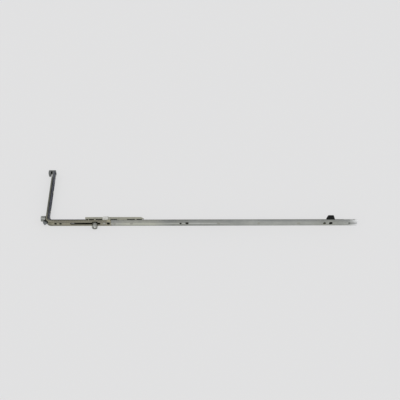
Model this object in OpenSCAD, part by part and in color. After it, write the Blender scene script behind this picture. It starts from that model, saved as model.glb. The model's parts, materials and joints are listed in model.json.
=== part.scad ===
// Espagnolette bar with an integral corner drive, for a tilt and turn window.
// It lies on the edge of its faceplate: X runs along the bar, Y along the leg, Z is up.
// Lengths are worked out from the outer corner of the faceplate, and placed() moves
// that corner so that the origin is under the middle of the whole fitting.

/* [Faceplate] */
// Width of the faceplate
plate_w = 16; // [15:0.5:20]
// Thickness of the faceplate
plate_t = 3; // [2.6:0.1:3.4]
// Length of the bar from the outer corner
bar_len = 622.8; // [620:0.1:800]
// Length of the bar covered by the corner faceplate
corner_bar_len = 130.8; // [130:0.1:132]
// Length of the leg covered by the corner faceplate
corner_leg_len = 116; // [112:1:119]
// Outer radius of the corner bend
bend_r = 10; // [8:0.5:10]
// Chamfer along the outer edges
edge_c = 0.7; // [0.3:0.1:1]

/* [Drive] */
// Travel of the drive rod
stroke = 40; // [30:1:40]
// Width of the drive rod and of the leg slide
rod_w = 10; // [9:0.5:10]
// Thickness of the drive rod
rod_t = 3.2; // [3:0.1:3.4]
// Thickness of the rod where the flexible strips lap it
lap_t = 2; // [1.8:0.1:2.1]
// Left end of the drive rod
rod_start = 56.8; // [56:0.1:58]
// Right end of the drive rod
rod_end = 618.8; // [616:0.1:620]
// Tip of the leg slide, from the outer corner
leg_len = 137; // [136:1:150]

/* [Flexible strips] */
// Thickness of one strip
strip_t = 0.5; // [0.4:0.05:0.5]
// Width of a strip
strip_w = 10; // [8:0.5:10]
// Width of the long slot in a strip
strip_slot_w = 4.6; // [4.4:0.1:5]
// Distance of the strips' bend centre from both outer faces
strip_bend = 13; // [13:0.5:14]

/* [Cams] */
// Radius of a cam roller
cam_r = 5.75; // [5:0.25:6]
// Height of a cam above the faceplate
cam_h = 10.5; // [9.6:0.1:12]
// Radius of the cam's stem
stem_r = 2.5; // [2.3:0.1:2.5]
// Offset of the roller from the stem, for adjustment
eccentric = 0.8; // [0.4:0.1:0.9]
// Roller of the bar's cam, from the outer corner
main_cam = 98.8; // [96:0.1:99.5]
// Roller of the leg's cam, from the outer corner
leg_cam = 12.5; // [12.5:0.5:14]
// Width of a cam slot
cam_slot_w = 5.5; // [5.4:0.1:6]

/* [Screw holes] */
// Radius of a screw hole
screw_r = 2.6; // [2.2:0.1:2.6]
// Radius of the small screw holes by the corner and in the clip
corner_screw_r = 2.1; // [1.8:0.1:2.1]
// Radius of the locating hole
locating_r = 1.75; // [1.5:0.05:2]

/* [Block and splice bar] */
// Length of the block along the bar
block_len = 16; // [15:0.5:16]
// Depth of the block behind the faceplate
block_depth = 10; // [9.9:0.1:11]
// Width of the block
block_w = 14.4; // [14:0.2:15]
// Left end of the splice bar
splice_start = 78.8; // [77:0.1:80]
// Right end of the splice bar
splice_end = 196.8; // [190:0.1:200]

/* [End clip] */
// Middle of the clip, where its screw goes through
clip_x = 570.2; // [569.8:0.1:572]
// Length of the clip's foot
clip_foot = 17; // [14:0.5:17]
// Depth of the clip behind the outer face
clip_depth = 15.7; // [13:0.1:16]
// Width of the open slot in the end of the faceplate
fork_w = 1.8; // [1.4:0.1:2.4]
// Radius of the round hole that the slot ends in
fork_r = 2; // [1.6:0.1:2.4]
// Middle of that hole, from the end of the faceplate
fork_len = 15.5; // [12:0.5:18]

/* [Hidden] */
$fn = 48;
cut = 1;

// Heights and depths of the stack behind the faceplate
mid = plate_w / 2;
play = 0.1;
rod_y = plate_t + play;
lap_back = rod_y + lap_t;
rod_back = rod_y + rod_t;
strip_gap = 0.05;
outer_strip_y = lap_back + strip_gap;
inner_strip_y = outer_strip_y + strip_t + strip_gap;
strip_back = inner_strip_y + strip_t;
guide_y = strip_back + 0.15;
guide_t = 0.6;
guide_back = guide_y + guide_t;

// Rivets and the sleeves that space them
rivet_r = 1.8;
rivet_head_r = 3;
rivet_head_t = 0.8;
rivet_pit_r = 1.3;
sleeve_r = 2.8;
bore_gap = 0.05;
slot_gap = 0.3;
sleeve_end = rod_back + 0.15;
back_head_r = 3.4;
back_head_t = 1;
strip_rivet_r = 1.5;
strip_head_r = 2.8;
rod_slot_w = 2 * (sleeve_r + slot_gap);

// Places along the bar
corner_screw_x = 19.8;
corner_rivet_x = 29.8;
corner_rivet_r = 2;
cam_slot_x = [48.8, 109.8];
block_rivet_x = 116.8;
block_screw_x = 125.4;
block_x = 113.8;
splice_xs = [136.8, 171.8];
locating_x = 269.8;
screw_x = 282.8;
guide_xs = [345.8, 425.8, 505.8, 557.8];
rod_strip_x = 76.8;
strip_end_x = rod_strip_x + 4;
rod_step_x = strip_end_x + stroke + 2;
tooth_x = 596.8;
tooth_pitch = 2.4;
tooth_n = 8;

// Places along the leg
leg_stem_y = leg_cam + eccentric;
leg_slot_y = [leg_stem_y - cam_slot_w / 2 - 0.2, leg_stem_y + stroke + cam_slot_w / 2 + 0.4];
leg_start = 9.4;
slide_strip_y = 30;
strip_end_y = slide_strip_y + 4;
slide_step_y = strip_end_y + 2;
leg_rivet_y = 80;
leg_screw_y = 104;
lug_len = 18;
lug_out = 7.9;
lug_back = 7.1;
wrap_t = 1.4;
tip_len = 6;
lug_rivet_ys = [121.7, 126.9];
hook_len = 9.5;
hook_gap = [-2.9, 0.6];

// Clip's hole in the faceplate, and the bush behind it in the drive rod's slot
clip_hole_r = 3.7;
bush_start = plate_t + 0.2;
bush_end = 9;
clip_y = rod_back + 0.2;

// Splice bar section
splice_wall = 0.9;
splice_y = 6.9;
splice_back = 11.9;
splice_half = rod_w / 2 + 0.2 + splice_wall;
splice_taper = 6;
splice_tabs = [[85.2, 86.8], [96.8, 100.2], [142.8, 162.8], [178.8, 181.8]];

// Cam, measured outwards from the faceplate
collar_af = 8;
collar_out = [0.3, 1.05];
journal_r = 3;
head_r = 3.5;
head_t = 1.7;
head_dome_r = 4.8;
journal_end = cam_h - 0.5 - head_t;
roller_out = [collar_out[1] + 0.15, cam_h];
recess_floor = journal_end - 0.15;
recess_r = head_r + 0.4;
foot_r = 3.4;
foot_t = 0.8;

// Stud through the bend, measured outwards from the strips' bend centre
stud_turn = 37;
stud_face = (strip_bend - bend_r) * (cos(stud_turn) + sin(stud_turn)) + sqrt(pow(bend_r, 2)
    - pow((strip_bend - bend_r) * (cos(stud_turn) - sin(stud_turn)), 2));
stud_seat = stud_face - 1;
stud_r = 3.75;
stud_shank_r = 1.7;
stud_top = stud_face + 6.9;
stud_back_r = 2.6;
stud_back = sqrt(pow(strip_bend - guide_back, 2) - pow(stud_back_r, 2)) - 0.03;

// Middle of the whole fitting, seen from above
centre_x = (bar_len - cam_h) / 2;
centre_y = (leg_len - cam_h) / 2;

module placed() translate([-centre_x, -centre_y, 0]) children();

// Extrudes a section of depth and height along the bar
module along_bar(x0, x1) translate([x0, 0, 0]) rotate([90, 0, 90]) linear_extrude(x1 - x0) children();

// Extrudes the same section along the leg
module along_leg(y0, y1) translate([0, y1, 0]) rotate([90, 0, 0]) linear_extrude(y1 - y0) children();

// Carries a section round the corner about a centre at the same distance from both faces
module round_corner(centre) {
    translate([centre, centre, 0]) rotate([0, 0, 180]) rotate_extrude(angle = 90, $fn = 96)
        translate([centre, 0]) mirror([1, 0]) children();
}

// Bar of width w between two depths, centred on the middle of the faceplate
module band(d0, d1, w) translate([d0, mid - w / 2]) square([d1 - d0, w]);

// Upright cylinder through the bar or the leg, from one depth to another
module bar_pin(x, d0, d1, r) translate([x, d1, mid]) rotate([90, 0, 0]) cylinder(h = d1 - d0, r = r);
module leg_pin(y, d0, d1, r) translate([d0, y, mid]) rotate([0, 90, 0]) cylinder(h = d1 - d0, r = r);

// The same, but wider at the outer end, as a countersink
module bar_sink(x, r) translate([x, 0.6, mid]) rotate([90, 0, 0]) cylinder(h = 0.62, r1 = r, r2 = r + 0.62);
module leg_sink(y, r) translate([0.6, y, mid]) rotate([0, -90, 0]) cylinder(h = 0.62, r1 = r, r2 = r + 0.62);

// Long hole with round ends
module bar_slot(x0, x1, d0, d1, w) {
    bar_pin(x0 + w / 2, d0, d1, w / 2);
    bar_pin(x1 - w / 2, d0, d1, w / 2);
    translate([x0 + w / 2, d0, mid - w / 2]) cube([x1 - x0 - w, d1 - d0, w]);
}
module leg_slot(y0, y1, d0, d1, w) {
    leg_pin(y0 + w / 2, d0, d1, w / 2);
    leg_pin(y1 - w / 2, d0, d1, w / 2);
    translate([d0, y0 + w / 2, mid - w / 2]) cube([d1 - d0, y1 - y0 - w, w]);
}

// Places a shape on the stud's axis, with its own Z pointing outwards from the bend centre
module on_stud(s) {
    translate([strip_bend, strip_bend, mid]) rotate([0, -90, stud_turn]) translate([0, 0, s]) children();
}
module stud_pin(s0, s1, r) on_stud(s0) cylinder(h = s1 - s0, r = r);

// Hole for a rivet whose head is sunk flush into the faceplate
module bar_rivet_hole(x) {
    bar_pin(x, -cut, plate_t + cut, rivet_r + bore_gap);
    bar_pin(x, -cut, rivet_head_t, rivet_head_r + bore_gap);
}

// Rivet from the flush head to the head at the back
module rivet(back) {
    difference() {
        union() {
            cylinder(h = rivet_head_t, r = rivet_head_r);
            cylinder(h = back + back_head_t, r = rivet_r);
            translate([0, 0, back]) cylinder(h = back_head_t, r = back_head_r);
        }
        translate([0, 0, -cut]) cylinder(h = cut + 1.4, r = rivet_pit_r);
    }
}
module bar_rivet(x, back) translate([x, 0, mid]) rotate([-90, 0, 0]) rivet(back);
module leg_rivet_at(y, back) translate([0, y, mid]) rotate([0, 90, 0]) rivet(back);

module sleeve(back) {
    difference() {
        cylinder(h = back - plate_t, r = sleeve_r);
        translate([0, 0, -cut]) cylinder(h = back - plate_t + 2 * cut, r = rivet_r + bore_gap);
    }
}
module bar_sleeve(x, back) translate([x, plate_t, mid]) rotate([-90, 0, 0]) sleeve(back);

module plate_section() {
    polygon([[0, edge_c], [edge_c, 0], [plate_t, 0], [plate_t, plate_w], [edge_c, plate_w],
        [0, plate_w - edge_c]]);
}

// Bent faceplate of the corner, with the leg
module corner_faceplate() {
    color([0.55, 0.54, 0.44]) placed() difference() {
        union() {
            along_bar(bend_r, corner_bar_len) plate_section();
            round_corner(bend_r) plate_section();
            along_leg(bend_r, corner_leg_len) plate_section();
        }
        bar_pin(corner_screw_x, -cut, plate_t + cut, corner_screw_r);
        bar_sink(corner_screw_x, corner_screw_r);
        bar_pin(corner_rivet_x, -cut, plate_t + cut, corner_rivet_r + bore_gap);
        bar_pin(corner_rivet_x, -cut, rivet_head_t, corner_rivet_r + 0.8);
        bar_slot(cam_slot_x[0], cam_slot_x[1], -cut, plate_t + cut, cam_slot_w);
        bar_rivet_hole(block_rivet_x);
        bar_pin(block_screw_x, -cut, plate_t + cut, screw_r);
        bar_sink(block_screw_x, screw_r);
        leg_slot(leg_slot_y[0], leg_slot_y[1], -cut, plate_t + cut, cam_slot_w);
        leg_pin(leg_rivet_y, -cut, plate_t + cut, rivet_r + bore_gap);
        leg_pin(leg_rivet_y, -cut, rivet_head_t, rivet_head_r + bore_gap);
        leg_pin(leg_screw_y, -cut, plate_t + cut, screw_r);
        leg_sink(leg_screw_y, screw_r);
        stud_pin(0, stud_top, stud_shank_r + bore_gap);
        stud_pin(stud_seat, stud_top, stud_r + 0.15);
    }
}

// Straight faceplate, open at its right end
module long_faceplate() {
    color([0.68, 0.7, 0.69]) placed() difference() {
        along_bar(corner_bar_len + 0.15, bar_len) plate_section();
        for (x = concat(splice_xs, guide_xs)) bar_rivet_hole(x);
        bar_pin(locating_x, -cut, plate_t + cut, locating_r);
        bar_pin(screw_x, -cut, plate_t + cut, screw_r);
        bar_sink(screw_x, screw_r);
        bar_pin(clip_x, -cut, plate_t + cut, clip_hole_r);
        bar_pin(bar_len - fork_len, -cut, plate_t + cut, fork_r);
        bar_slot(bar_len - fork_len, bar_len + fork_w, -cut, plate_t + cut, fork_w);
    }
}

// Casting that fills the corner between the faceplate and the flexible strips
module corner_shoe() {
    shoe_w = rod_w + 1.2;
    strip_clear = strip_bend - outer_strip_y + 0.15;
    color([0.42, 0.42, 0.4]) placed() difference() {
        translate([0, 0, mid - shoe_w / 2]) linear_extrude(shoe_w) difference() {
            translate([plate_t, plate_t])
                square([rod_start - stroke - 0.6 - plate_t, leg_start - 0.3 - plate_t]);
            translate([strip_bend, strip_bend]) circle(r = strip_clear, $fn = 96);
            translate([strip_bend, strip_bend - strip_clear]) square(strip_clear);
            difference() {
                square([bend_r, bend_r]);
                translate([bend_r, bend_r]) circle(r = bend_r - plate_t - bore_gap, $fn = 96);
            }
        }
        stud_pin(0, stud_top, stud_shank_r + bore_gap);
    }
}

// Bent plate that keeps the strips against the shoe and the rod, open where their rivet slides
module inner_guide() {
    guide_len_y = 6;
    color([0.3, 0.31, 0.32]) placed() difference() {
        union() {
            along_bar(strip_bend, splice_start - 0.6) band(guide_y, guide_back, rod_w);
            round_corner(strip_bend) band(guide_y, guide_back, rod_w);
            along_leg(strip_bend, strip_bend + guide_len_y) band(guide_y, guide_back, rod_w);
        }
        bar_pin(corner_screw_x, 0, 2 * guide_back, corner_screw_r + 0.2);
        bar_pin(corner_rivet_x, 0, 2 * guide_back, corner_rivet_r + bore_gap);
        bar_slot(rod_strip_x - stroke - rod_slot_w / 2 - 0.5, splice_start + rod_slot_w, 0, 2 * guide_back,
            rod_slot_w);
        stud_pin(0, stud_top, stud_shank_r + bore_gap);
    }
}

// Stud through the bend, with a dished end
module corner_stud() {
    stud_h = stud_top - stud_seat;
    color([0.2, 0.2, 0.21]) placed() {
        on_stud(stud_seat) rotate_extrude() polygon([
            [0, 0], [stud_r - 0.65, 0], [stud_r - 0.65, stud_h - 4.6], [stud_r, stud_h - 4.1],
            [stud_r, stud_h - 0.5], [stud_r - 0.5, stud_h], [2, stud_h], [1.6, stud_h - 0.5],
            [0, stud_h - 0.5]]);
        stud_pin(stud_back - 0.5, stud_seat + 0.5, stud_shank_r);
        stud_pin(stud_back - 1, stud_back, stud_back_r);
    }
}

// Slotted spring strip that carries the movement round the corner
module strip(d) {
    placed() difference() {
        union() {
            along_bar(strip_bend, strip_end_x) band(d, d + strip_t, strip_w);
            round_corner(strip_bend) band(d, d + strip_t, strip_w);
            along_leg(strip_bend, strip_end_y) band(d, d + strip_t, strip_w);
        }
        translate([0, 0, mid - strip_slot_w / 2])
            cube([corner_rivet_x + stroke + strip_slot_w / 2, strip_bend + 2, strip_slot_w]);
        bar_pin(rod_strip_x, 0, 2 * strip_back, strip_rivet_r + bore_gap);
        leg_pin(slide_strip_y, 0, 2 * strip_back, strip_rivet_r + bore_gap);
    }
}
module outer_strip() color([0.16, 0.18, 0.24]) strip(outer_strip_y);
module inner_strip() color([0.13, 0.15, 0.2]) strip(inner_strip_y);

// Rivet that holds the inner guide and runs in the strips' slots
module corner_rivet() {
    color([0.5, 0.49, 0.42]) placed() {
        difference() {
            union() {
                bar_pin(corner_rivet_x, 0.1, rivet_head_t, corner_rivet_r + 0.75);
                bar_pin(corner_rivet_x, rivet_head_t, guide_back, corner_rivet_r);
                bar_pin(corner_rivet_x, guide_back, guide_back + 0.9, 3);
            }
            bar_pin(corner_rivet_x, -cut, plate_t, rivet_pit_r);
        }
    }
}

module leg_rivet() color([0.5, 0.49, 0.42]) placed() leg_rivet_at(leg_rivet_y, sleeve_end);

module leg_sleeve() {
    color([0.75, 0.7, 0.5]) placed() translate([plate_t, leg_rivet_y, mid])
        rotate([0, 90, 0]) sleeve(sleeve_end);
}

module guide_rivets() color([0.62, 0.62, 0.58]) placed() for (x = guide_xs) bar_rivet(x, sleeve_end);

module guide_sleeves() color([0.75, 0.7, 0.5]) placed() for (x = guide_xs) bar_sleeve(x, sleeve_end);

// Casting that clamps the splice bar over the drive rod
module coupling_block() {
    back = plate_t + block_depth;
    color([0.8, 0.8, 0.77]) placed() difference() {
        translate([0, 0, mid - block_w / 2]) linear_extrude(block_w) polygon([
            [block_x, plate_t], [block_x + block_len, plate_t], [block_x + block_len, splice_y + 1],
            [block_x + block_len - 4, splice_y + 2], [block_x + block_len - 4.6, back], [block_x + 1.5, back],
            [block_x, back - 2]]);
        along_bar(block_x - cut, block_x + block_len + cut) union() {
            band(0, splice_y, rod_w + 0.4);
            band(splice_y, splice_back, 2 * splice_half);
        }
        bar_pin(block_rivet_x, 0, 2 * back, rivet_r + bore_gap);
        bar_pin(block_screw_x, 0, 2 * back, screw_r);
    }
}

module block_rivet() color([0.62, 0.62, 0.58]) placed() bar_rivet(block_rivet_x, plate_t + block_depth);

// Channel behind the drive rod that joins the two faceplates
module splice_bar() {
    color([0.6, 0.6, 0.52]) placed() difference() {
        union() {
            along_bar(splice_start, splice_end) difference() {
                band(splice_y, splice_back, 2 * splice_half);
                band(0, splice_back - splice_wall, 2 * (splice_half - splice_wall));
            }
            for (tab = splice_tabs) along_bar(tab[0], tab[1]) difference() {
                band(plate_t, splice_y + cut, 2 * splice_half);
                band(0, splice_back, 2 * (splice_half - splice_wall));
            }
        }
        for (x = concat([block_rivet_x], splice_xs)) bar_pin(x, splice_y, 2 * splice_back, rivet_r + bore_gap);
        bar_pin(block_screw_x, splice_y, 2 * splice_back, screw_r);
        translate([splice_end, splice_y + 0.8, -cut]) rotate([0, 0, atan2(splice_taper, 4.2)])
            cube([20, 20, plate_w + 2 * cut]);
    }
}

module splice_rivets() color([0.62, 0.62, 0.58]) placed() for (x = splice_xs) bar_rivet(x, splice_back);

module splice_sleeves() {
    color([0.75, 0.7, 0.5]) placed()
        for (x = concat([block_rivet_x], splice_xs)) bar_sleeve(x, splice_back - splice_wall);
}

// Moulded clip behind the drive rod, with a cheek on either side of the rod
module end_clip() {
    clip_w = 12;
    cheek_t = 0.8;
    left = clip_x - 8.8;
    right = left + clip_foot;
    knee = clip_y + 1.2;
    color([0.1, 0.1, 0.11]) placed() {
        difference() {
            translate([0, 0, mid - clip_w / 2]) linear_extrude(clip_w) polygon([
                [left + 3, clip_y], [right, clip_y], [right, knee], [right - 1, clip_depth - 1.4],
                [right - 2.2, clip_depth], [left + 5, clip_depth], [left + 3.8, clip_depth - 1.4],
                [left, knee]]);
            bar_pin(clip_x, 0, bush_end + bore_gap, sleeve_r + bore_gap);
            bar_pin(clip_x, 0, 2 * clip_depth, corner_screw_r);
        }
        for (z = [mid - clip_w / 2, mid + clip_w / 2 - cheek_t])
            translate([left + 4.4, plate_t, z]) cube([right - left - 5, clip_y - bore_gap - plate_t, cheek_t]);
    }
}

// Bush through the rod's slot, between the head of the clip's screw and the clip
module clip_bush() {
    color([0.08, 0.08, 0.09]) placed() difference() {
        bar_pin(clip_x, bush_start, bush_end, sleeve_r);
        bar_pin(clip_x, 0, 2 * bush_end, corner_screw_r + 0.3);
    }
}

// Rod that slides behind the faceplate, with a slot for each thing that passes through it
module drive_rod() {
    reach = sleeve_r + slot_gap;
    color([0.64, 0.65, 0.63]) placed() difference() {
        union() {
            along_bar(rod_start, rod_step_x) band(rod_y, lap_back, rod_w);
            along_bar(rod_step_x, rod_end) band(rod_y, rod_back, rod_w);
        }
        bar_slot(rod_start - strip_slot_w, corner_rivet_x + stroke + strip_slot_w / 2,
            0, 2 * rod_back, strip_slot_w);
        for (held = [[block_rivet_x, splice_xs[1]], [locating_x, screw_x], [guide_xs[0], guide_xs[0]],
            [guide_xs[1], guide_xs[1]], [guide_xs[2], guide_xs[2]], [guide_xs[3], clip_x]])
            bar_slot(held[0] - reach, held[1] + stroke + reach, 0, 2 * rod_back, rod_slot_w);
        bar_pin(main_cam - eccentric, 0, 2 * rod_back, stem_r + bore_gap);
        bar_pin(main_cam - eccentric, lap_back - foot_t - play, 2 * rod_back, foot_r + play);
        bar_pin(rod_strip_x, 0, 2 * rod_back, strip_rivet_r + bore_gap);
        bar_pin(rod_strip_x, 0, rod_y + 0.7, 2.4 + bore_gap);
        for (i = [0:tooth_n - 1]) translate([tooth_x + i * tooth_pitch, rod_back - 1, mid - rod_w])
            cube([tooth_pitch / 2, 2, 2 * rod_w]);
    }
}

module rod_strip_rivet() {
    color([0.5, 0.49, 0.42]) placed() {
        bar_pin(rod_strip_x, rod_y + 0.05, rod_y + 0.7, 2.4);
        bar_pin(rod_strip_x, rod_y + 0.7, strip_back + 0.05, strip_rivet_r);
        bar_pin(rod_strip_x, strip_back + 0.05, strip_back + 0.75, strip_head_r);
    }
}

// Stem, hexagon collar, journal and domed head of an adjustable cam
module cam_pin() {
    translate([0, 0, -lap_back + 0.05]) cylinder(h = foot_t, r = foot_r);
    translate([0, 0, -lap_back + 0.05]) cylinder(h = lap_back + collar_out[0], r = stem_r);
    translate([0, 0, collar_out[0]])
        cylinder(h = collar_out[1] - collar_out[0], d = collar_af / cos(30), $fn = 6);
    translate([eccentric, 0, collar_out[0]]) cylinder(h = journal_end - collar_out[0], r = journal_r);
    translate([eccentric, 0, journal_end]) rotate_extrude() intersection() {
        square([head_r, head_t]);
        translate([0, head_t - head_dome_r]) circle(r = head_dome_r, $fn = 96);
    }
}

// Roller that turns on the journal, with its rim rounded by chamfers
module cam_roller() {
    low = roller_out[0];
    high = roller_out[1];
    bore_r = journal_r + bore_gap;
    translate([eccentric, 0, 0]) rotate_extrude() polygon([
        [bore_r, low], [cam_r - 0.4, low], [cam_r, low + 0.4], [cam_r, high - 0.7],
        [cam_r - 0.7, high], [recess_r, high], [recess_r, recess_floor], [bore_r, recess_floor]]);
}

module on_bar() placed() translate([main_cam - eccentric, 0, mid]) rotate([90, 0, 0]) children();
module on_leg() placed() translate([0, leg_stem_y, mid]) rotate([0, -90, 0]) rotate([0, 0, -90]) children();

module main_cam_pin() color([0.38, 0.39, 0.36]) on_bar() cam_pin();
module main_cam_roller() color([0.62, 0.62, 0.61]) on_bar() cam_roller();
module leg_cam_pin() color([0.38, 0.39, 0.36]) on_leg() cam_pin();
module leg_cam_roller() color([0.52, 0.53, 0.51]) on_leg() cam_roller();

// Slide that leaves the leg as the rod moves towards the corner
module leg_slide() {
    reach = sleeve_r + slot_gap;
    color([0.27, 0.29, 0.3]) placed() difference() {
        union() {
            along_leg(leg_start, slide_step_y) band(rod_y, lap_back, rod_w);
            along_leg(slide_step_y, leg_len - tip_len) band(rod_y, rod_back, rod_w);
            along_leg(leg_len - tip_len, leg_len - wrap_t - bore_gap) band(rod_y, lap_back, rod_w);
        }
        leg_slot(leg_rivet_y - stroke - reach, leg_screw_y + reach, 0, 2 * rod_back, rod_slot_w);
        leg_pin(leg_stem_y, 0, 2 * rod_back, stem_r + bore_gap);
        leg_pin(leg_stem_y, lap_back - foot_t - play, 2 * rod_back, foot_r + play);
        leg_pin(slide_strip_y, 0, 2 * rod_back, strip_rivet_r + bore_gap);
        leg_pin(slide_strip_y, 0, rod_y + 0.7, 2.4 + bore_gap);
        for (y = lug_rivet_ys) leg_pin(y, 0, 2 * rod_back, 1.5 + bore_gap);
    }
}

module slide_strip_rivet() {
    color([0.5, 0.49, 0.42]) placed() {
        leg_pin(slide_strip_y, rod_y + 0.05, rod_y + 0.7, 2.4);
        leg_pin(slide_strip_y, rod_y + 0.7, strip_back + 0.05, strip_rivet_r);
        leg_pin(slide_strip_y, strip_back + 0.05, strip_back + 0.75, strip_head_r);
    }
}

// Hook for the next fitting, on the outer side of the slide and wrapped round its tip
module coupling_lug() {
    start = leg_len - lug_len;
    hook_start = leg_len - hook_len;
    root = leg_len - 3;
    wrap_end = leg_len - tip_len + bore_gap;
    color([0.52, 0.54, 0.53]) placed() difference() {
        translate([0, 0, mid - rod_w / 2]) linear_extrude(rod_w) polygon([
            [rod_y, start], [rod_y, leg_len - wrap_t], [lap_back + bore_gap, leg_len - wrap_t],
            [lap_back + bore_gap, wrap_end], [lug_back, wrap_end], [lug_back, leg_len - 1],
            [lug_back - 1, leg_len], [1 - lug_out, leg_len], [-lug_out, leg_len - 1],
            [-lug_out, hook_start + 1], [1 - lug_out, hook_start], [hook_gap[0], hook_start],
            [hook_gap[0], root], [hook_gap[1], root], [hook_gap[1], start]]);
        for (y = lug_rivet_ys) {
            leg_pin(y, hook_gap[0], 2 * rod_back, 1.5 + bore_gap);
            leg_pin(y, hook_gap[0], hook_gap[1] + 0.8, 2.4 + bore_gap);
        }
    }
}

module lug_rivets() {
    color([0.5, 0.49, 0.42]) placed() for (y = lug_rivet_ys) {
        leg_pin(y, hook_gap[1] + 0.1, hook_gap[1] + 0.8, 2.4);
        leg_pin(y, hook_gap[1] + 0.8, rod_back, 1.5);
        leg_pin(y, rod_back, rod_back + 0.8, 2.4);
    }
}

corner_faceplate();
long_faceplate();
corner_shoe();
inner_guide();
corner_stud();
outer_strip();
inner_strip();
corner_rivet();
leg_rivet();
leg_sleeve();
guide_rivets();
guide_sleeves();
coupling_block();
block_rivet();
splice_bar();
splice_rivets();
splice_sleeves();
end_clip();
clip_bush();
drive_rod();
rod_strip_rivet();
main_cam_pin();
main_cam_roller();
leg_slide();
slide_strip_rivet();
coupling_lug();
lug_rivets();
leg_cam_pin();
leg_cam_roller();
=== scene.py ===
import json
import math

import bmesh
import bpy
from mathutils import Matrix, Vector
from mathutils.geometry import tessellate_polygon


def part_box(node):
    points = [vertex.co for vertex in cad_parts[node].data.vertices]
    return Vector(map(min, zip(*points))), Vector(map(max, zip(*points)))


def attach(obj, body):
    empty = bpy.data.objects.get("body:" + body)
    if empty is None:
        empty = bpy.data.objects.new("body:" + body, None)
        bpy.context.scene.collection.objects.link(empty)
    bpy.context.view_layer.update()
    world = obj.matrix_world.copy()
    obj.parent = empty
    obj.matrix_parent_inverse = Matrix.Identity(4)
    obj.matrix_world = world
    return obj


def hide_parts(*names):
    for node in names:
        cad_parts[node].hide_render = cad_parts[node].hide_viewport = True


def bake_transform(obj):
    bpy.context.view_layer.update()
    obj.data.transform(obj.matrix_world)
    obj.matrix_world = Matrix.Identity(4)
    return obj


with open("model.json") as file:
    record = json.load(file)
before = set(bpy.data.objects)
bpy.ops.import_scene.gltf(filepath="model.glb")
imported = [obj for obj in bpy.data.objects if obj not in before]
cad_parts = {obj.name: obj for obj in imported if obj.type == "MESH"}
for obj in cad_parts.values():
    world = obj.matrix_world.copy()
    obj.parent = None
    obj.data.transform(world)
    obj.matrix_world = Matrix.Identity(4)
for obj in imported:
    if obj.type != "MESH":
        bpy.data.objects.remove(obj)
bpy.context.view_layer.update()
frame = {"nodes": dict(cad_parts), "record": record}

MM = 0.001
NODES = frame["nodes"]
SLOT_OF = {entry["node"]: entry["material_slot"] for entry in frame["record"]["subparts"]}

# Places are in millimetres from the faceplate's outer corner: x along the bar, y along the leg, z up
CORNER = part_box("corner_faceplate")[0]
PLATE_W = 16.0
PLATE_T = 3.0
MID = PLATE_W / 2

# Rivets: places on the bar and on the leg, and the depths at which their domed backs begin
GUIDE_XS = (345.8, 425.8, 505.8, 557.8)
SPLICE_XS = (136.8, 171.8)
BLOCK_RIVET_X = 116.8
LEG_RIVET_Y = 80.0
SLEEVE_END = 6.45
SPLICE_BACK = 11.9
BLOCK_BACK = 13.0
HEAD_R = 2.98
HEAD_T = 0.8
HEAD_SINK = 0.03
SHANK_R = 1.8
BACK_R = 3.4

# Spring strips: two bands beside a slot, and a whole riveted end on the bar and on the leg
STRIP_BEND = 13.0
STRIP_T = 0.5
STRIP_HOLE_R = 1.55
STRIP_DEPTHS = {"outer": 5.15, "inner": 5.70}
BAND_EDGES = (3.0, 5.7, 10.3, 13.0)
BAR_STRIP = {"slot_end": 72.1, "end": 80.8, "rivet": 76.8}
LEG_STRIP = {"slot_end": 15.0, "end": 34.0, "rivet": 30.0}
BEND_STEPS = 24
HOLE_STEPS = 32
JOIN_GAP = 0.0001


def at(x, y, z):
    """A point measured in millimetres from the faceplate's corner, in the row frame in metres."""
    return CORNER + Vector((x, y, z)) * MM


# Node materials

def add(tree, kind, inputs=None, **props):
    """A shader node with its properties and inputs set; an input may be another node's socket."""
    made = tree.nodes.new("ShaderNode" + kind)
    for key, value in props.items():
        setattr(made, key, value)
    for key, value in (inputs or {}).items():
        feed(tree, made, key, value)
    return made


def feed(tree, node, key, value):
    """Links a socket to a node's input, or sets the input to a plain value."""
    if isinstance(value, bpy.types.NodeSocket):
        tree.links.new(value, node.inputs[key])
    else:
        node.inputs[key].default_value = value


def scaled(tree, scale, offset=(0, 0, 0)):
    """Object coordinates stretched by a scale per axis, then moved."""
    coord = add(tree, "TexCoord").outputs["Object"]
    return add(tree, "Mapping", {"Vector": coord, "Scale": scale, "Location": offset}).outputs[0]


def where(tree):
    """A surface point's place in millimetres from the corner, as the sockets X, Y and Z."""
    return add(tree, "SeparateXYZ", {"Vector": scaled(tree, (1 / MM,) * 3, -CORNER / MM)}).outputs


def noise(tree, vector, scale, detail=3.0, rough=0.5):
    """Noise that mostly stays between 0.3 and 0.7."""
    inputs = {"Vector": vector, "Scale": scale, "Detail": detail, "Roughness": rough}
    return add(tree, "TexNoise", inputs).outputs[0]


def ramp(tree, value, low, high, to_low=0.0, to_high=1.0):
    """Goes from to_low to to_high as a value goes from low to high, and stays level beyond them."""
    inputs = {"Value": value, "From Min": low, "From Max": high, "To Min": to_low, "To Max": to_high}
    return add(tree, "MapRange", inputs).outputs[0]


def math_node(tree, operation, a, b=0.0):
    return add(tree, "Math", {0: a, 1: b}, operation=operation).outputs[0]


def product(tree, first, *others):
    for other in others:
        first = math_node(tree, "MULTIPLY", first, other)
    return first


def stretch(tree, value, rise, fall):
    """1 along a stretch and 0 outside it: it rises over one pair of places and falls over another."""
    return product(tree, ramp(tree, value, *rise), ramp(tree, value, fall[1], fall[0]))


def rgba(colour):
    return (*colour, 1.0)


def mixed(tree, factor, a, b, blend="MIX"):
    """Two colours mixed by a factor, each of them a socket or four numbers."""
    made = add(tree, "Mix", data_type="RGBA", blend_type=blend)
    for index, value in ((0, factor), (6, a), (7, b)):
        feed(tree, made, index, value)
    return made.outputs[2]


def toned(tree, colour, share, tone):
    """A colour multiplied by a tone, as far as the share says."""
    return mixed(tree, share, colour, rgba(tone), "MULTIPLY")


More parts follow.
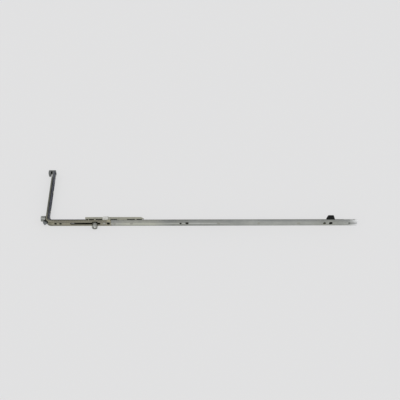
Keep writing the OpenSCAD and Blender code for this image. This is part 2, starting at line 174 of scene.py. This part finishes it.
# Painted shade in holes, slots and the gaps between pieces, darkest where least open air is about a point
GAP_SHADE = (0.018, 0.018, 0.011)
GAP_REACH = 8.0
# Shares of open air about a point: the painted shade is full below the first, and none is left above the
# second
OPEN_AIR = {"usual": (0.32, 0.8), "faces": (0.1, 0.6), "slide": (0.1, 0.5), "cams": (0.05, 0.45)}


def shade_gaps(tree, colour, air):
    """Darkens a colour as painted shade where holes, slots and gaps leave little open air."""
    open_share = add(tree, "AmbientOcclusion", {"Distance": GAP_REACH * MM}, samples=8).outputs["AO"]
    return mixed(tree, ramp(tree, open_share, *OPEN_AIR[air]), rgba(GAP_SHADE), colour)


def fresh(name):
    """A new material with a Principled shader, its node tree and that shader."""
    material = bpy.data.materials.new(name)
    material.use_nodes = True
    tree = material.node_tree
    tree.nodes.clear()
    shader = add(tree, "BsdfPrincipled")
    add(tree, "OutputMaterial", {"Surface": shader.outputs[0]})
    return material, tree, shader


def relief(tree, shader, height, strength, depth):
    """Gives a shader a bump of a depth in millimetres."""
    bump = add(tree, "Bump", {"Height": height, "Strength": strength, "Distance": depth * MM})
    feed(tree, shader, "Normal", bump.outputs[0])


# Touches: each changes the colour of one metal by its place on the fitting, in millimetres

# Stretches of the faceplates: start, end, softness of both, top edge and the tone they take; the first is
# painted shade where the bend starts
FACE_TONES = [
    (1, 12, 4, 13, (0.55, 0.55, 0.53)),
    (14, 128, 4, 20, (0.89, 0.88, 0.88)),
    (143, 228, 12, 20, (1.22, 1.2, 1.12)),
    (244, 286, 12, 20, (0.86, 0.86, 0.84)),
    (310, 400, 12, 20, (0.9, 0.9, 0.9)),
    (542, 590, 12, 20, (0.91, 0.91, 0.89)),
]
# Painted shade at the faceplate's edges grows from the first place to the second, leftwards
SHADED_EDGES_FADE = (420, 230)
# Painted shade on the faceplate's top rim, growing to the right between these places
SHADED_RIM = (390, 460)
# A painted highlight line along the middle of the face, with painted shade just under it: its stretch and its
# height
HIGHLIGHT_LINE = {"rise": (235, 255), "fall": (330, 370)}
HIGHLIGHT_LINE_Z = 7.9
GLINT = {"rise": (121, 124), "fall": (129, 131)}
# The faceplate turns paler towards the right end, between these places
PALE_END = (606, 623)


def across_face(tree, colour):
    """Painted light on a faceplate: a painted highlight along the middle and painted shade towards both
    edges, more so at the left, with tones along the bar.
    """
    spot = where(tree)
    wave = noise(tree, scaled(tree, (25, 300, 300)), 1.0, 3.0, 0.6)
    height = math_node(tree, "ADD", spot["Z"], ramp(tree, wave, 0.3, 0.7, -0.8, 0.8))
    left = ramp(tree, spot["X"], *SHADED_EDGES_FADE, 0.3, 1.0)
    # Painted shade towards the top and the bottom edge
    colour = toned(tree, colour, product(tree, ramp(tree, height, 9.2, 12.6), left, 0.85), (0.6, 0.6, 0.62))
    colour = toned(tree, colour, product(tree, ramp(tree, height, 6.0, 2.5), left, 0.7), (0.72, 0.72, 0.72))
    for first, last, soft, top, tone in FACE_TONES:
        inside = stretch(tree, spot["X"], (first - soft, first + soft), (last - soft, last + soft))
        colour = toned(tree, colour, product(tree, inside, ramp(tree, spot["Z"], top + 1, top - 1)), tone)
    # Painted shade on the top rim at the right
    rim = product(tree, ramp(tree, spot["Z"], 14.0, 15.6), ramp(tree, spot["X"], *SHADED_RIM))
    colour = toned(tree, colour, rim, (0.77, 0.77, 0.79))
    # A painted highlight line along the middle, with painted shade just under it
    highlight_stretch = stretch(tree, spot["X"], **HIGHLIGHT_LINE)
    off_line = math_node(tree, "ABSOLUTE", math_node(tree, "SUBTRACT", height, HIGHLIGHT_LINE_Z))
    line = product(tree, highlight_stretch, ramp(tree, off_line, 2.4, 1.3))
    colour = toned(tree, colour, line, (1.26, 1.26, 1.27))
    under_line = product(tree, highlight_stretch, ramp(tree, height, 6.0, 5.2))
    colour = toned(tree, colour, under_line, (0.86, 0.86, 0.86))
    glint = product(tree, stretch(tree, spot["X"], **GLINT), ramp(tree, spot["Z"], 14.2, 15.2))
    colour = toned(tree, colour, glint, (1.6, 1.58, 1.5))
    return mixed(tree, ramp(tree, spot["X"], *PALE_END), colour, rgba((0.92, 0.93, 0.93)))


# Painted shade on the rims of the screw holes: place along the bar, rise above the middle and radius
HOLE_RIM_SHADES = [(19.8, -0.4, 2.7), (125.4, -0.2, 3.2), (269.8, 0.0, 2.5), (282.8, 0.9, 3.5)]
HOLES_HALF_W = 5.6
BEND_END = 13.4


def shade_holes(tree, colour):
    """Painted shade: blackens the walls of the holes and slots in a faceplate, and the rims of its screw
    holes.
    """
    spot = where(tree)
    depth = math_node(tree, "MINIMUM", spot["X"], spot["Y"])
    along = math_node(tree, "MAXIMUM", spot["X"], spot["Y"])
    off_middle = math_node(tree, "ABSOLUTE", math_node(tree, "SUBTRACT", spot["Z"], MID))
    wall = stretch(tree, depth, (0.15, 0.3), (PLATE_T - 0.08, PLATE_T - 0.02))
    wall = product(tree, wall, math_node(tree, "LESS_THAN", off_middle, HOLES_HALF_W),
                   math_node(tree, "GREATER_THAN", along, BEND_END))
    for x, rise, radius in HOLE_RIM_SHADES:
        aside = math_node(tree, "SUBTRACT", spot["X"], x)
        above = math_node(tree, "SUBTRACT", spot["Z"], MID + rise)
        squares = math_node(tree, "ADD", product(tree, aside, aside), product(tree, above, above))
        from_hole = math_node(tree, "SQRT", squares)
        rim_shade = product(tree, ramp(tree, from_hole, radius + 0.5, radius - 0.5), 0.85)
        colour = mixed(tree, rim_shade, colour, rgba((0.05, 0.05, 0.035)))
    return mixed(tree, product(tree, wall, 0.9), colour, rgba((0.02, 0.02, 0.013)))


def cool_leg(tree, colour):
    """The corner faceplate turns darker and cooler past the bend."""
    return toned(tree, colour, ramp(tree, where(tree)["Y"], 8, 26), (0.68, 0.72, 0.78))


def shaded_rod_front(tree, colour):
    """Painted shade: blackens the rod's face behind the faceplate, which shows through the slots."""
    return mixed(tree, ramp(tree, where(tree)["Y"], 3.25, 3.15), colour, rgba((0.03, 0.03, 0.02)))


def dark_back(tree, colour):
    """Painted shade: the slide's inner part is darker and bluer."""
    return toned(tree, colour, ramp(tree, where(tree)["X"], 5.7, 6.2), (0.3, 0.32, 0.45))


def block_darkening(tree, colour):
    """Darkens the block where it meets the faceplate and on its low right flange."""
    spot = where(tree)
    colour = toned(tree, colour, ramp(tree, spot["Y"], 9.0, 4.0), (0.72, 0.72, 0.68))
    return toned(tree, colour, ramp(tree, spot["X"], 124.2, 125.0), (0.62, 0.62, 0.56))


# The metals and the plastic

def rolled_metal(name, tint, clouded, worn, rough=0.34, grain=(30, 900, 900), air="usual", touches=()):
    """Plated steel: clouds of tint, rolled grain, fine scratches and rubbed patches."""
    material, tree, shader = fresh(name)
    plain = scaled(tree, (1, 1, 1))
    clouds = ramp(tree, noise(tree, plain, 70.0, 4.0, 0.6), 0.35, 0.68)
    streaks = noise(tree, scaled(tree, grain), 1.0, 5.0, 0.62)
    fine = (grain[0] * 0.6, grain[1] * 2.6, grain[2] * 2.6)
    scratch = ramp(tree, noise(tree, scaled(tree, fine, (7, 3, 1)), 1.0, 2.0, 0.5), 0.66, 0.74)
    rub = ramp(tree, noise(tree, plain, 217.0, 3.0, 0.7), 0.55, 0.8)
    colour = mixed(tree, clouds, rgba(tint), rgba(clouded))
    colour = mixed(tree, product(tree, rub, 0.45), colour, rgba(worn))
    colour = mixed(tree, ramp(tree, streaks, 0.3, 0.7, 0.0, 0.5), colour, rgba([c * 0.78 for c in tint]))
    colour = mixed(tree, product(tree, scratch, 0.4), colour, rgba(worn))
    for touch in touches:
        colour = touch(tree, colour)
    feed(tree, shader, "Base Color", shade_gaps(tree, colour, air))
    shader.inputs["Metallic"].default_value = 1.0
    dull = ramp(tree, streaks, 0.3, 0.7, rough - 0.05, rough + 0.09)
    feed(tree, shader, "Roughness", math_node(tree, "ADD", dull, product(tree, rub, -0.06)))
    pits = noise(tree, plain, 2600.0, 2.0, 0.5)
    height = math_node(tree, "ADD", product(tree, streaks, 0.7), product(tree, pits, 0.3))
    relief(tree, shader, height, 0.35, 0.02)
    return material


def cast_metal(name, tint, clouded, metallic=0.85, touches=()):
    """Die-cast zinc: fine orange-peel grain with faint flow marks."""
    material, tree, shader = fresh(name)
    plain = scaled(tree, (1, 1, 1))
    peel = noise(tree, plain, 2200.0, 3.0, 0.55)
    flow = noise(tree, scaled(tree, (120, 260, 260)), 1.0, 4.0, 0.65)
    specks = ramp(tree, noise(tree, plain, 1100.0, 2.0, 0.5), 0.68, 0.76)
    colour = mixed(tree, ramp(tree, flow, 0.32, 0.7), rgba(tint), rgba(clouded))
    colour = mixed(tree, product(tree, specks, 0.5), colour, rgba([c * 0.55 for c in tint]))
    for touch in touches:
        colour = touch(tree, colour)
    feed(tree, shader, "Base Color", shade_gaps(tree, colour, "usual"))
    shader.inputs["Metallic"].default_value = metallic
    feed(tree, shader, "Roughness", ramp(tree, flow, 0.3, 0.7, 0.44, 0.58))
    relief(tree, shader, peel, 0.4, 0.05)
    return material


def turned_metal(name, tint, worn, rough=0.3, air="usual"):
    """Turned or cold-headed steel, with fine rings and worn patches."""
    material, tree, shader = fresh(name)
    rings = noise(tree, scaled(tree, (160, 2600, 160)), 1.0, 3.0, 0.6)
    patches = ramp(tree, noise(tree, scaled(tree, (1, 1, 1)), 380.0, 3.0, 0.6), 0.45, 0.7)
    colour = mixed(tree, patches, rgba(tint), rgba(worn))
    colour = mixed(tree, ramp(tree, rings, 0.35, 0.7, 0.0, 0.45), colour, rgba([c * 0.7 for c in tint]))
    feed(tree, shader, "Base Color", shade_gaps(tree, colour, air))
    shader.inputs["Metallic"].default_value = 1.0
    feed(tree, shader, "Roughness", ramp(tree, rings, 0.3, 0.7, rough - 0.05, rough + 0.1))
    relief(tree, shader, rings, 0.3, 0.02)
    return material


def moulded_plastic(name, tint, dusty, rough):
    """Polyamide with fine spark-erosion grain and a little dust."""
    material, tree, shader = fresh(name)
    plain = scaled(tree, (1, 1, 1))
    grain = noise(tree, plain, 3600.0, 2.0, 0.5)
    dust = ramp(tree, noise(tree, plain, 240.0, 4.0, 0.65), 0.5, 0.78, 0.0, 0.5)
    colour = mixed(tree, dust, rgba(tint), rgba(dusty))
    feed(tree, shader, "Base Color", shade_gaps(tree, colour, "usual"))
    feed(tree, shader, "Roughness", ramp(tree, grain, 0.3, 0.7, rough - 0.05, rough + 0.12))
    shader.inputs["Specular IOR Level"].default_value = 0.22
    relief(tree, shader, grain, 0.35, 0.03)
    return material


# Each look's own colours come first: its main tint, then its cloudy, worn or dusty ones
MATERIALS = {
    "olive_zinc": rolled_metal("olive_zinc", (0.46, 0.44, 0.32), (0.36, 0.35, 0.28), (0.62, 0.6, 0.5),
                               air="faces", touches=(across_face, shade_holes, cool_leg)),
    "silver_zinc": rolled_metal("silver_zinc", (0.515, 0.53, 0.49), (0.435, 0.45, 0.43), (0.69, 0.7, 0.67),
                                air="faces", touches=(across_face, shade_holes)),
    "rod_zinc": rolled_metal("rod_zinc", (0.36, 0.37, 0.34), (0.28, 0.29, 0.27), (0.58, 0.58, 0.56),
                             rough=0.32, touches=(shaded_rod_front,)),
    "dark_zinc": rolled_metal("dark_zinc", (0.205, 0.22, 0.22), (0.15, 0.16, 0.17), (0.35, 0.365, 0.365),
                              rough=0.36, grain=(900, 30, 900)),
    # A darker, bluer copy of dark_zinc for the slide: painted shade
    "shaded_slide_zinc": rolled_metal("shaded_slide_zinc", (0.155, 0.16, 0.185), (0.115, 0.12, 0.14), (0.28, 0.29, 0.31),
                              rough=0.36, grain=(900, 30, 900), air="slide", touches=(dark_back,)),
    "spring_steel": rolled_metal("spring_steel", (0.09, 0.095, 0.12), (0.125, 0.12, 0.12), (0.24, 0.24, 0.24),
                                 rough=0.3),
    "splice_zinc": rolled_metal("splice_zinc", (0.53, 0.525, 0.43), (0.43, 0.425, 0.355), (0.7, 0.69, 0.6)),
    "dark_casting": cast_metal("dark_casting", (0.22, 0.23, 0.22), (0.16, 0.165, 0.16)),
    "light_casting": cast_metal("light_casting", (0.72, 0.72, 0.68), (0.6, 0.6, 0.57), metallic=0.35,
                                touches=(block_darkening,)),
    "rivet_steel": turned_metal("rivet_steel", (0.42, 0.42, 0.37), (0.55, 0.55, 0.5)),
    # A near-black rivet look: painted shade for rivets that sit in dark hollows
    "shaded_rivet": turned_metal("shaded_rivet", (0.09, 0.095, 0.065), (0.14, 0.14, 0.1)),
    "brass_sleeve": turned_metal("brass_sleeve", (0.55, 0.42, 0.18), (0.68, 0.55, 0.3), rough=0.28),
    # The near-white tint is a painted highlight on the cam pins' heads
    "cam_steel": turned_metal("cam_steel", (0.84, 0.84, 0.79), (0.95, 0.95, 0.9), rough=0.34, air="cams"),
    "roller_steel": turned_metal("roller_steel", (0.28, 0.29, 0.27), (0.38, 0.385, 0.36), rough=0.36,
                                 air="faces"),
    # A lighter copy of roller_steel, as a painted highlight on the main cam's roller
    "highlight_roller": turned_metal("highlight_roller", (0.37, 0.38, 0.355), (0.49, 0.495, 0.465), rough=0.36,
                                air="faces"),
    "black_plastic": moulded_plastic("black_plastic", (0.002, 0.0025, 0.0024), (0.008, 0.009, 0.0088), 0.62),
}


def dress(obj, look):
    """Gives an object one material."""
    obj.data.materials.clear()
    obj.data.materials.append(MATERIALS[look])


# Mesh helpers

WELD_GAP = 0.002
FLAT_ANGLE = math.radians(0.4)
EDGE_ANGLE = math.radians(32)
EDGE_SEGMENTS = 2


def finish_edges(obj, width):
    """Rounds an object's sharp edges by a width in millimetres, and smooths what is left."""
    for polygon in obj.data.polygons:
        polygon.use_smooth = True
    weld = obj.modifiers.new("weld", "WELD")
    weld.merge_threshold = WELD_GAP * MM
    flat = obj.modifiers.new("flat", "DECIMATE")
    flat.decimate_type = "DISSOLVE"
    flat.angle_limit = FLAT_ANGLE
    bevel = obj.modifiers.new("edges", "BEVEL")
    bevel.width = width * MM
    bevel.segments = EDGE_SEGMENTS
    bevel.limit_method = "ANGLE"
    bevel.angle_limit = EDGE_ANGLE
    bevel.use_clamp_overlap = True
    bevel.harden_normals = True


def from_bmesh(name, mesh_data, body, slot_name, replaced):
    """Turns a bmesh in millimetres from the corner into a piece, which rides on a body if one is named."""
    for vert in mesh_data.verts:
        vert.co = at(*vert.co)
    bmesh.ops.recalc_face_normals(mesh_data, faces=mesh_data.faces)
    mesh = bpy.data.meshes.new(name)
    mesh_data.to_mesh(mesh)
    mesh_data.free()
    obj = bpy.data.objects.new(name, mesh)
    bpy.context.scene.collection.objects.link(obj)
    dress(obj, slot_name)
    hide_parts(replaced)
    if body:
        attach(obj, body)
    return obj


# Directions of the pins, as the way from the outer face into the sash
INWARD = {"bar": Vector((0, 1, 0)), "leg": Vector((1, 0, 0))}
ROUND_STEPS = 48
SMOOTH_ANGLE = math.radians(35)


def lathe(name, side, along, profile, replaced):
    """Revolves (radius, depth) points about a rivet's axis, where depth runs from the outer face inwards."""
    axis = INWARD[side]
    centre = Vector((along, 0, MID)) if side == "bar" else Vector((0, along, MID))
    across = Vector((0, 0, 1))
    other = axis.cross(across)
    made = bmesh.new()
    rings = []
    for radius, depth in profile:
        middle = centre + axis * depth
        if radius == 0:
            rings.append([made.verts.new(middle)])
            continue
        ring = []
        for i in range(ROUND_STEPS):
            turn = 2 * math.pi * i / ROUND_STEPS
            outward = across * math.cos(turn) + other * math.sin(turn)
            ring.append(made.verts.new(middle + outward * radius))
        rings.append(ring)
    for a, b in zip(rings, rings[1:]):
        for i in range(ROUND_STEPS):
            corners = [a[i % len(a)], a[(i + 1) % len(a)], b[(i + 1) % len(b)], b[i % len(b)]]
            unique = list(dict.fromkeys(corners))
            if len(unique) > 2:
                made.faces.new(unique)
    obj = from_bmesh(name, made, "frame", "rivet_steel", replaced)
    for polygon in obj.data.polygons:
        polygon.use_smooth = True
    obj.data.set_sharp_from_angle(angle=SMOOTH_ANGLE)
    return obj


# CAD nodes that keep their shape

# Widths of the rounded edges, in millimetres
EDGES = {
    "corner_faceplate": 0.22, "long_faceplate": 0.22, "corner_shoe": 0.2, "inner_guide": 0.12,
    "corner_stud": 0.12, "leg_sleeve": 0.1, "guide_sleeves": 0.1, "coupling_block": 0.3, "splice_bar": 0.18,
    "splice_sleeves": 0.1, "end_clip": 0.3, "clip_bush": 0.15, "drive_rod": 0.15, "main_cam_pin": 0.12,
    "main_cam_roller": 0.12, "leg_slide": 0.15, "coupling_lug": 0.25, "leg_cam_pin": 0.12,
    "leg_cam_roller": 0.12, "corner_rivet": 0.1, "rod_strip_rivet": 0.08, "slide_strip_rivet": 0.08,
    "lug_rivets": 0.1,
}
# Nodes whose look differs from the other nodes of their slot; the slide's and the corner rivet's carry
# painted shade, the main roller's a painted highlight
OWN_LOOKS = {"corner_rivet": "shaded_rivet", "leg_slide": "shaded_slide_zinc", "main_cam_roller": "highlight_roller"}
for node_name, node_object in NODES.items():
    dress(node_object, OWN_LOOKS.get(node_name, SLOT_OF[node_name]))
    if node_name in EDGES:
        finish_edges(node_object, EDGES[node_name])


# Rivets

def rivet_profile(back, pit=0.35, pit_r=1.3):
    """A flush head with a dish, a shank, and from the depth back on a domed end with a small dimple."""
    head = [
        (0, pit), (pit_r * 0.6, pit * 0.9), (pit_r, 0.1), (pit_r + 0.2, HEAD_SINK),
        (HEAD_R - 0.15, HEAD_SINK), (HEAD_R, 0.16), (HEAD_R, HEAD_T), (SHANK_R, HEAD_T), (SHANK_R, back),
    ]
    dome = [
        (BACK_R - 0.12, 0), (BACK_R, 0.12), (BACK_R, 0.45), (BACK_R - 0.25, 0.75), (BACK_R - 0.8, 0.95),
        (BACK_R - 1.5, 1.0), (0.9, 0.96), (0.55, 0.72), (0, 0.66),
    ]
    return head + [(radius, back + rise) for radius, rise in dome]


for i, x in enumerate(GUIDE_XS, 1):
    hollow = {"pit": 1.8, "pit_r": 1.75} if x == GUIDE_XS[-1] else {}
    headed = lathe(f"guide_rivet_{i}", "bar", x, rivet_profile(SLEEVE_END, **hollow), "guide_rivets")
# The last of them is the hollow one in front of the clip, near black as painted shade
dress(headed, "shaded_rivet")
for i, x in enumerate(SPLICE_XS, 1):
    lathe(f"splice_rivet_{i}", "bar", x, rivet_profile(SPLICE_BACK), "splice_rivets")
lathe("block_rivet_headed", "bar", BLOCK_RIVET_X, rivet_profile(BLOCK_BACK, pit=0.6), "block_rivet")
lathe("leg_rivet_headed", "leg", LEG_RIVET_Y, rivet_profile(SLEEVE_END), "leg_rivet")


# Flexible strips

def bend_point(depth, turn):
    """A point on a strip's outer face in the bend, with the direction into the sash."""
    inward = Vector((math.cos(turn), math.sin(turn), 0))
    return Vector((STRIP_BEND, STRIP_BEND, 0)) - inward * (STRIP_BEND - depth), inward


def bands(made, rails, capped):
    """The two bands of a strip beside its slot, along rails of points; a capped end gets its end faces."""
    for low, high in (BAND_EDGES[:2], BAND_EDGES[2:]):
        rows = []
        for point, inward in rails:
            back = point + inward * STRIP_T
            rows.append([made.verts.new((p.x, p.y, z)) for p, z in
                         ((point, low), (point, high), (back, high), (back, low))])
        for a, b in zip(rows, rows[1:]):
            for i in range(4):
                made.faces.new((a[i], a[(i + 1) % 4], b[(i + 1) % 4], b[i]))
        made.faces.new(rows[capped])


def riveted_end(made, side, depth, sizes):
    """The whole end of a strip past its slot, as a plate with one rivet hole."""
    first, last = sizes["slot_end"], sizes["end"]
    outline = [(first, z) for z in BAND_EDGES] + [(last, BAND_EDGES[-1]), (last, BAND_EDGES[0])]
    turns = [2 * math.pi * i / HOLE_STEPS for i in range(HOLE_STEPS)]
    hole = [(sizes["rivet"] + STRIP_HOLE_R * math.cos(a), MID + STRIP_HOLE_R * math.sin(a)) for a in turns]
    triangles = tessellate_polygon([[Vector((s, z, 0)) for s, z in loop] for loop in (outline, hole)])
    layers = []
    for d in (depth, depth + STRIP_T):
        verts = [made.verts.new((s, d, z) if side == "bar" else (d, s, z)) for s, z in outline + hole]
        for triangle in triangles:
            made.faces.new([verts[i] for i in triangle])
        layers.append(verts)
    front, back = layers
    # No wall where the two bands run into the plate, which are the outline's first and third side
    walls = [(i, (i + 1) % len(outline)) for i in range(len(outline)) if i not in (0, 2)]
    walls += [(len(outline) + i, len(outline) + (i + 1) % HOLE_STEPS) for i in range(HOLE_STEPS)]
    for i, j in walls:
        made.faces.new((front[i], front[j], back[j], back[i]))
    bmesh.ops.remove_doubles(made, verts=made.verts, dist=JOIN_GAP)


for layer, depth in STRIP_DEPTHS.items():
    node_name = layer + "_strip"
    made = bmesh.new()
    rails = [(Vector((BAR_STRIP["slot_end"], depth, 0)), INWARD["bar"])]
    rails += [bend_point(depth, math.pi / 2 * (1 - i / BEND_STEPS)) for i in range(BEND_STEPS + 1)]
    bands(made, rails, -1)
    riveted_end(made, "bar", depth, BAR_STRIP)
    bar_part = from_bmesh(node_name + "_bar", made, None, "spring_steel", node_name)
    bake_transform(bar_part)
    made = bmesh.new()
    bands(made, [(Vector((depth, y, 0)), INWARD["leg"]) for y in (STRIP_BEND, LEG_STRIP["slot_end"])], 0)
    riveted_end(made, "leg", depth, LEG_STRIP)
    leg_part = from_bmesh(node_name + "_leg", made, None, "spring_steel", node_name)
    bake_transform(leg_part)


# Floor, light and camera

FLOOR_SIZE = 12.0
# The share of the floor's look that is its own pale light
OWN_LIGHT = 0.78


def stage_material():
    """The floor: mostly its own pale colour to the camera and in metal, plus the light and shadow on it."""
    material = bpy.data.materials.new("stage_floor")
    material.use_nodes = True
    tree = material.node_tree
    tree.nodes.clear()
    path = add(tree, "LightPath")
    seen = math_node(tree, "MAXIMUM", path.outputs["Is Camera Ray"], path.outputs["Is Glossy Ray"])
    seen = math_node(tree, "MAXIMUM", seen, path.outputs["Is Transmission Ray"])
    lit = add(tree, "BsdfDiffuse", {"Color": rgba((0.74, 0.74, 0.745))})
    pale = add(tree, "Emission", {"Color": rgba((0.771, 0.771, 0.774))})
    share = math_node(tree, "MULTIPLY", seen, OWN_LIGHT)
    both = add(tree, "MixShader", {0: share, 1: lit.outputs[0], 2: pale.outputs[0]})
    add(tree, "OutputMaterial", {"Surface": both.outputs[0]})
    return material


bpy.ops.mesh.primitive_plane_add(size=FLOOR_SIZE, location=(0, 0, 0))
floor = bpy.context.object
floor.name = "floor"
floor.data.materials.append(stage_material())

world = bpy.data.worlds.new("studio")
bpy.context.scene.world = world
world.use_nodes = True
tree = world.node_tree
tree.nodes.clear()
direction = add(tree, "TexCoord").outputs["Generated"]
height = add(tree, "SeparateXYZ", {"Vector": direction}).outputs["Z"]
# Brighter near the horizon than overhead, and the floor's own grey where the camera sees past the floor
sky = mixed(tree, ramp(tree, height, 0.1, 0.95), rgba((0.95, 0.95, 0.95)), rgba((0.42, 0.42, 0.43)))
camera_ray = add(tree, "LightPath").outputs["Is Camera Ray"]
shown = mixed(tree, camera_ray, sky, rgba((0.77, 0.77, 0.77)))
light = add(tree, "Background", {"Color": shown, "Strength": 1.0})
add(tree, "OutputWorld", {"Surface": light.outputs[0]})


def sun(name, azimuth, elevation, strength, angle):
    """A far lamp that shines from a compass direction: azimuth 0 is the camera's side, 90 is the right."""
    lamp = bpy.data.lights.new(name, "SUN")
    lamp.energy = strength
    lamp.angle = math.radians(angle)
    obj = bpy.data.objects.new(name, lamp)
    a, e = math.radians(azimuth), math.radians(elevation)
    towards = Vector((math.sin(a) * math.cos(e), -math.cos(a) * math.cos(e), math.sin(e)))
    obj.rotation_mode = "QUATERNION"
    obj.rotation_quaternion = towards.to_track_quat("Z", "Y")
    bpy.context.scene.collection.objects.link(obj)


sun("key", -40.0, 62.0, 0.8, 65.0)
sun("fill", 75.0, 48.0, 0.5, 70.0)

# The photograph's camera: it looks straight across the bar at LOOK_X from above, from DISTANCE millimetres
# away, and its axis passes RISE millimetres above the middle of the bar's face
ELEVATION = math.radians(51.3)
DISTANCE = 1682.0
LOOK_X = 308.8
RISE = 46.9
ROLL = math.radians(-0.12)
FOCAL_PX = 841.0
FRAME_PX = 400.0
SENSOR = 36.0
forward = Vector((0, math.cos(ELEVATION), -math.sin(ELEVATION)))
up = Vector((0, math.sin(ELEVATION), math.cos(ELEVATION)))
camera_data = bpy.data.cameras.new("camera")
camera_data.sensor_width = SENSOR
camera_data.lens = FOCAL_PX / FRAME_PX * SENSOR
camera_data.clip_start = 0.05
camera_data.clip_end = 20.0
camera = bpy.data.objects.new("camera", camera_data)
spot = Vector((LOOK_X, 0, MID)) - forward * DISTANCE + up * RISE
camera.location = at(*spot)
camera.rotation_mode = "QUATERNION"
level = Matrix((forward.cross(up), up, -forward)).transposed()
camera.rotation_quaternion = (Matrix.Rotation(ROLL, 3, -forward) @ level).to_quaternion()
bpy.context.scene.collection.objects.link(camera)
bpy.context.scene.camera = camera
bpy.context.scene.view_settings.view_transform = "Standard"
